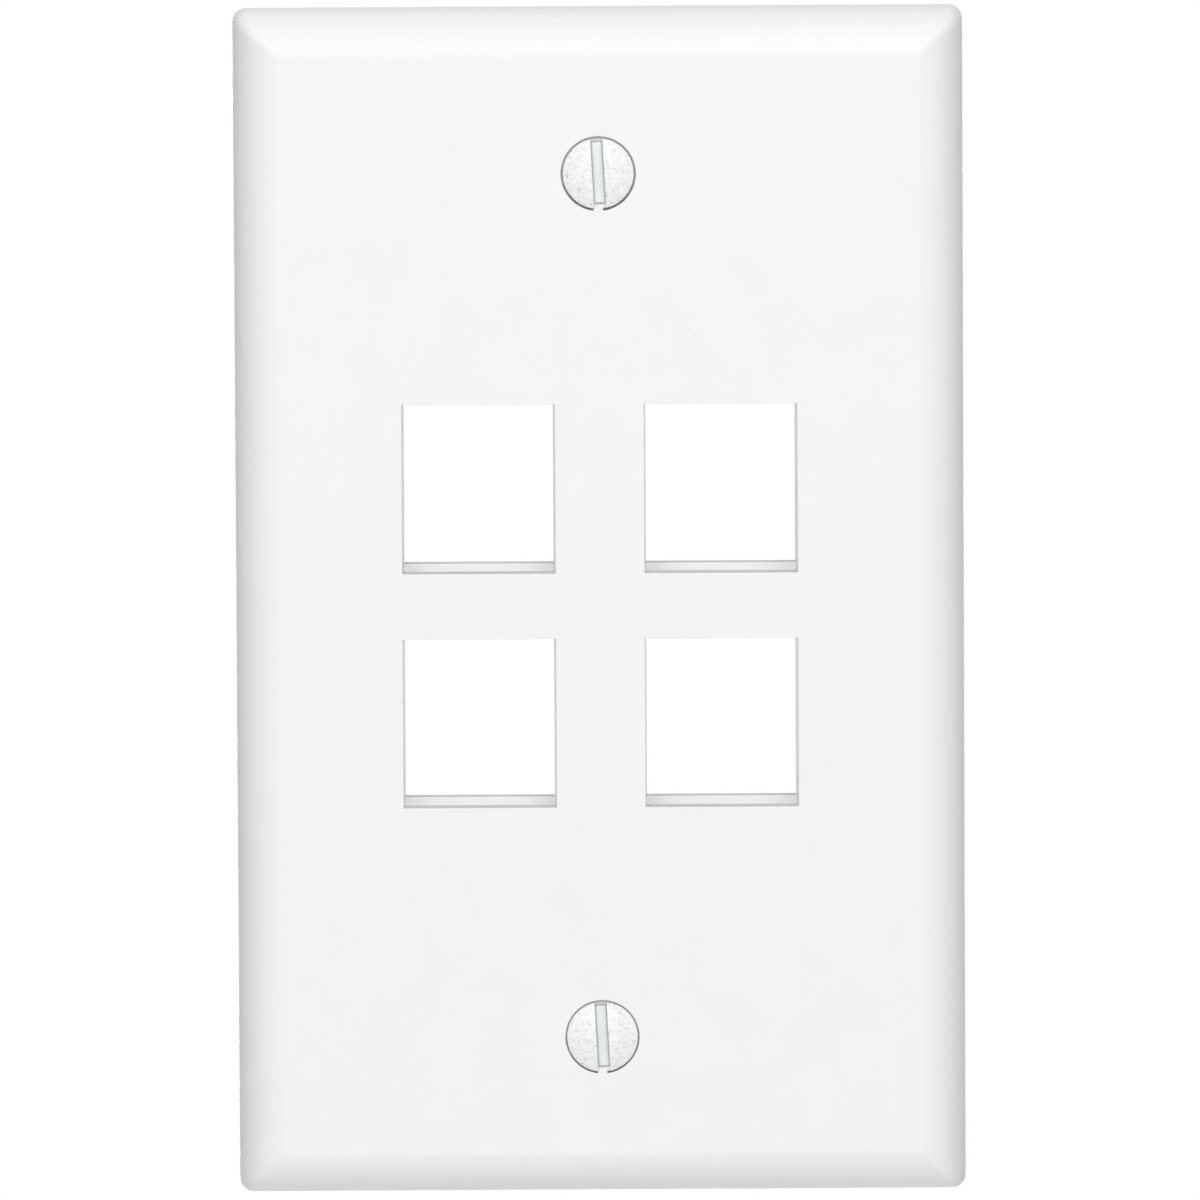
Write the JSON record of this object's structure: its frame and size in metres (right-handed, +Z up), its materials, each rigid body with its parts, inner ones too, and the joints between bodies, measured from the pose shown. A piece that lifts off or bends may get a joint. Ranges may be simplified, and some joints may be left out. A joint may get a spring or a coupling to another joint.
{
  "type": "keystone faceplate",
  "caption": "Upright moulded wall plate with a crowned edge and keystone ports in two columns, fixed to a wall box by oval-head slotted screws.",
  "frame": {"origin": "centre of the plate in the wall plane, which the back of its rim touches", "axes": "+Z up the plate as it is mounted, the front faces -Y and the screws point along +Y into the wall, +X to the right as seen from the front"},
  "size_m": [0.0698, 0.0264, 0.1142],
  "materials": {
    "plate_plastic": "white, fine satin mould finish",
    "screw_steel": "zinc-plated steel with a white painted head"
  },
  "bodies": {
    "faceplate": {"faceplate": "plate_plastic"},
    "upper_screw": {"upper_screw": "screw_steel"},
    "lower_screw": {"lower_screw": "screw_steel"}
  },
  "joints": [
    {"name": "upper_screw_turn", "type": "hinge", "parent": "faceplate", "child": "upper_screw", "pos_m": [0, 0, 0.04167], "axis": [0, 1, 0], "continuous": true},
    {"name": "lower_screw_turn", "type": "hinge", "parent": "faceplate", "child": "lower_screw", "pos_m": [0, 0, -0.04167], "axis": [0, 1, 0], "continuous": true}
  ]
}
